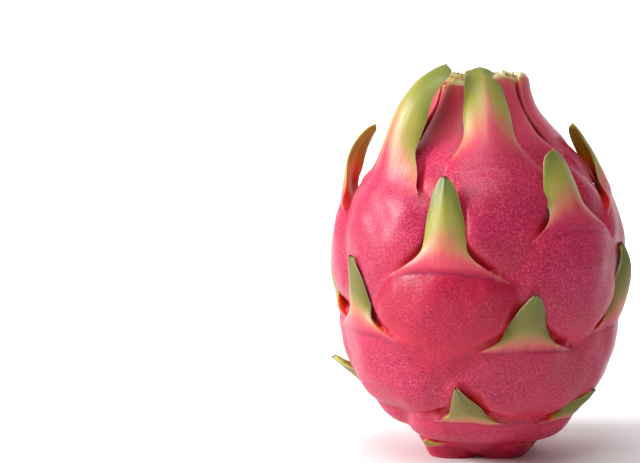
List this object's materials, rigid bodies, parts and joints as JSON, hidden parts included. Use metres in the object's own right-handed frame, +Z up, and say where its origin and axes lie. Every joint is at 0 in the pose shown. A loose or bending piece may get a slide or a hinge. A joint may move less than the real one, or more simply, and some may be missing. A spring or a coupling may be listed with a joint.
{
  "type": "dragon fruit",
  "caption": "Whole dragon fruit standing on its stem end, an egg-shaped fruit with soft swellings and long leafy scales that rise to the flower end.",
  "frame": {"origin": "below the middle of the fruit, on the surface that it stands on", "axes": "+Z up along the fruit, from the stem end to the flower end; -Y is the side with the longest run of scales in the middle"},
  "size_m": [0.0866, 0.0842, 0.1125],
  "materials": {
    "skin": "waxy satin skin, vivid pink, with yellow-green scale tips",
    "dry_flower": "dry, papery, straw and brown",
    "stem_wood": "dry cut, fibrous"
  },
  "bodies": {
    "root": {"fruit": "skin", "flower_remnant": "dry_flower", "cut_stem": "stem_wood"}
  },
  "joints": []
}
